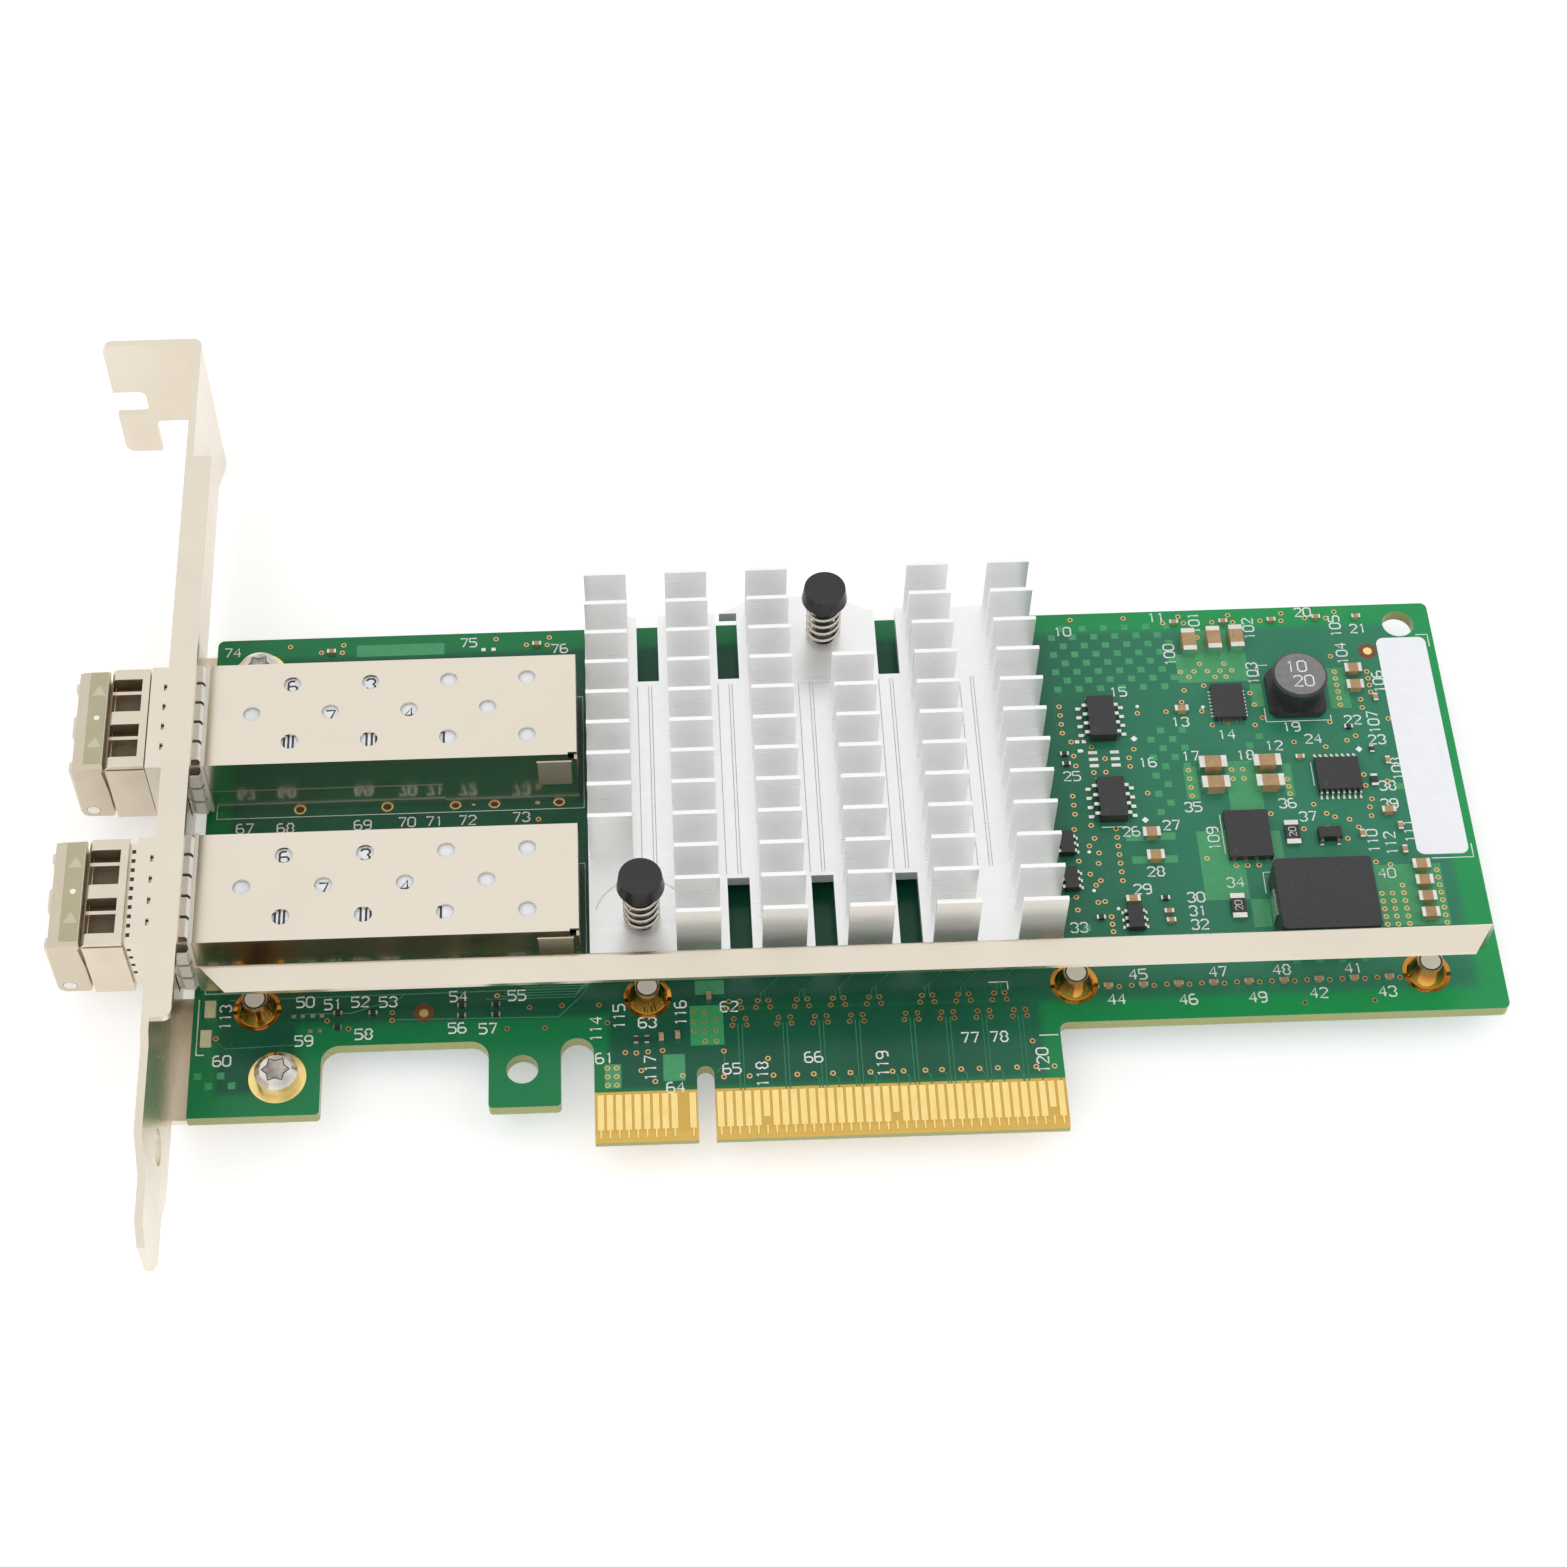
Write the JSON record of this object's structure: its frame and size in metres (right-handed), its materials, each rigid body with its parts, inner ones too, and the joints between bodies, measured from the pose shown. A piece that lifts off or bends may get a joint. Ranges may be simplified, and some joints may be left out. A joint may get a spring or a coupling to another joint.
{
  "type": "network interface card",
  "caption": "Expansion card with pluggable optical modules in shielded cages, a finned heat sink on spring pins, a stiffener bar and a full-height bracket.",
  "frame": {"origin": "centre of the edge connector's key notch, on the contact edge, in the board's component face", "axes": "+X from the bracket to the board's far end, +Y away from the contact edge, +Z out of the component face"},
  "size_m": [0.1609, 0.1201, 0.0219],
  "materials": {
    "board": "glossy solder mask over copper",
    "gold": "gold plated",
    "bracket_steel": "satin nickel plated sheet",
    "screw_steel": "bright plated",
    "cage_steel": "smooth nickel plated sheet",
    "black_plastic": "matt moulded",
    "module_metal": "satin plated casting",
    "sleeve_ceramic": "polished",
    "bail_metal": "satin",
    "aluminium": "bright extruded and milled",
    "pad_rubber": "soft matt",
    "chip_plastic": "matt moulded",
    "ferrite": "matt pressed",
    "cap_plastic": "glossy moulded",
    "spring_steel": "bright wire",
    "tin": "bright tin",
    "capacitor_ceramic": "matt fired",
    "resistor_ceramic": "matt glazed",
    "lamp_plastic": "clear",
    "label_paper": "matt"
  },
  "bodies": {
    "card": {"blank_label": "label_paper", "board": "board", "bracket": "bracket_steel", "bracket_screws": "screw_steel", "cage_lower": "cage_steel", "cage_upper": "cage_steel", "capacitor_bodies": "capacitor_ceramic", "capacitor_ends": "tin", "choke_body": "ferrite", "choke_terminals": "tin", "contacts_bottom": "gold", "contacts_top": "gold", "controller": "chip_plastic", "drum_inductor": "ferrite", "fingers_lower": "cage_steel", "fingers_upper": "cage_steel", "heat_sink": "aluminium", "host_connector_lower": "black_plastic", "host_connector_upper": "black_plastic", "indicator_lamps": "lamp_plastic", "qfn_bodies": "chip_plastic", "resistor_bodies": "resistor_ceramic", "resistor_ends": "tin", "rivet_pads": "gold", "screw_pads": "gold", "soic_bodies": "chip_plastic", "soic_leads": "tin", "sot_bodies": "chip_plastic", "sot_leads": "tin", "stiffener": "bracket_steel", "stiffener_rivets": "screw_steel", "thermal_pad": "pad_rubber", "tssop_body": "chip_plastic", "tssop_leads": "tin"},
    "module_upper": {"module_upper": "module_metal", "module_cover_upper": "module_metal", "module_card_upper": "board", "port_sleeves_upper": "sleeve_ceramic", "bail_pins_upper": "screw_steel"},
    "module_lower": {"module_lower": "module_metal", "module_cover_lower": "module_metal", "module_card_lower": "board", "port_sleeves_lower": "sleeve_ceramic", "bail_pins_lower": "screw_steel", "module_ring_lower": "cage_steel"},
    "bail_upper": {"bail_upper": "bail_metal"},
    "bail_lower": {"bail_lower": "bail_metal"},
    "push_pin_upper": {"push_pin_upper": "cap_plastic", "spring_upper": "spring_steel"},
    "push_pin_lower": {"push_pin_lower": "cap_plastic", "spring_lower": "spring_steel"}
  },
  "joints": [
    {"name": "module_upper_slide", "type": "slide", "parent": "card", "child": "module_upper", "axis": [-1, 0, 0], "range_m": [0, 0.05]},
    {"name": "module_lower_slide", "type": "slide", "parent": "card", "child": "module_lower", "axis": [-1, 0, 0], "range_m": [0, 0.05]},
    {"name": "bail_upper_hinge", "type": "hinge", "parent": "module_upper", "child": "bail_upper", "pos_m": [-0.0694, 0.0511, 0.0011], "axis": [0, -1, 0], "range_deg": [0, 90]},
    {"name": "bail_lower_hinge", "type": "hinge", "parent": "module_lower", "child": "bail_lower", "pos_m": [-0.0702, 0.02775, 0.0011], "axis": [0, -1, 0], "range_deg": [0, 90]},
    {"name": "push_pin_upper_press", "type": "slide", "parent": "card", "child": "push_pin_upper", "axis": [0, 0, -1], "range_m": [0, 0.0015], "stiffness_N_per_m": 1500, "deforming": ["spring_upper"]},
    {"name": "push_pin_lower_press", "type": "slide", "parent": "card", "child": "push_pin_lower", "axis": [0, 0, -1], "range_m": [0, 0.0015], "stiffness_N_per_m": 1500, "deforming": ["spring_lower"]}
  ]
}
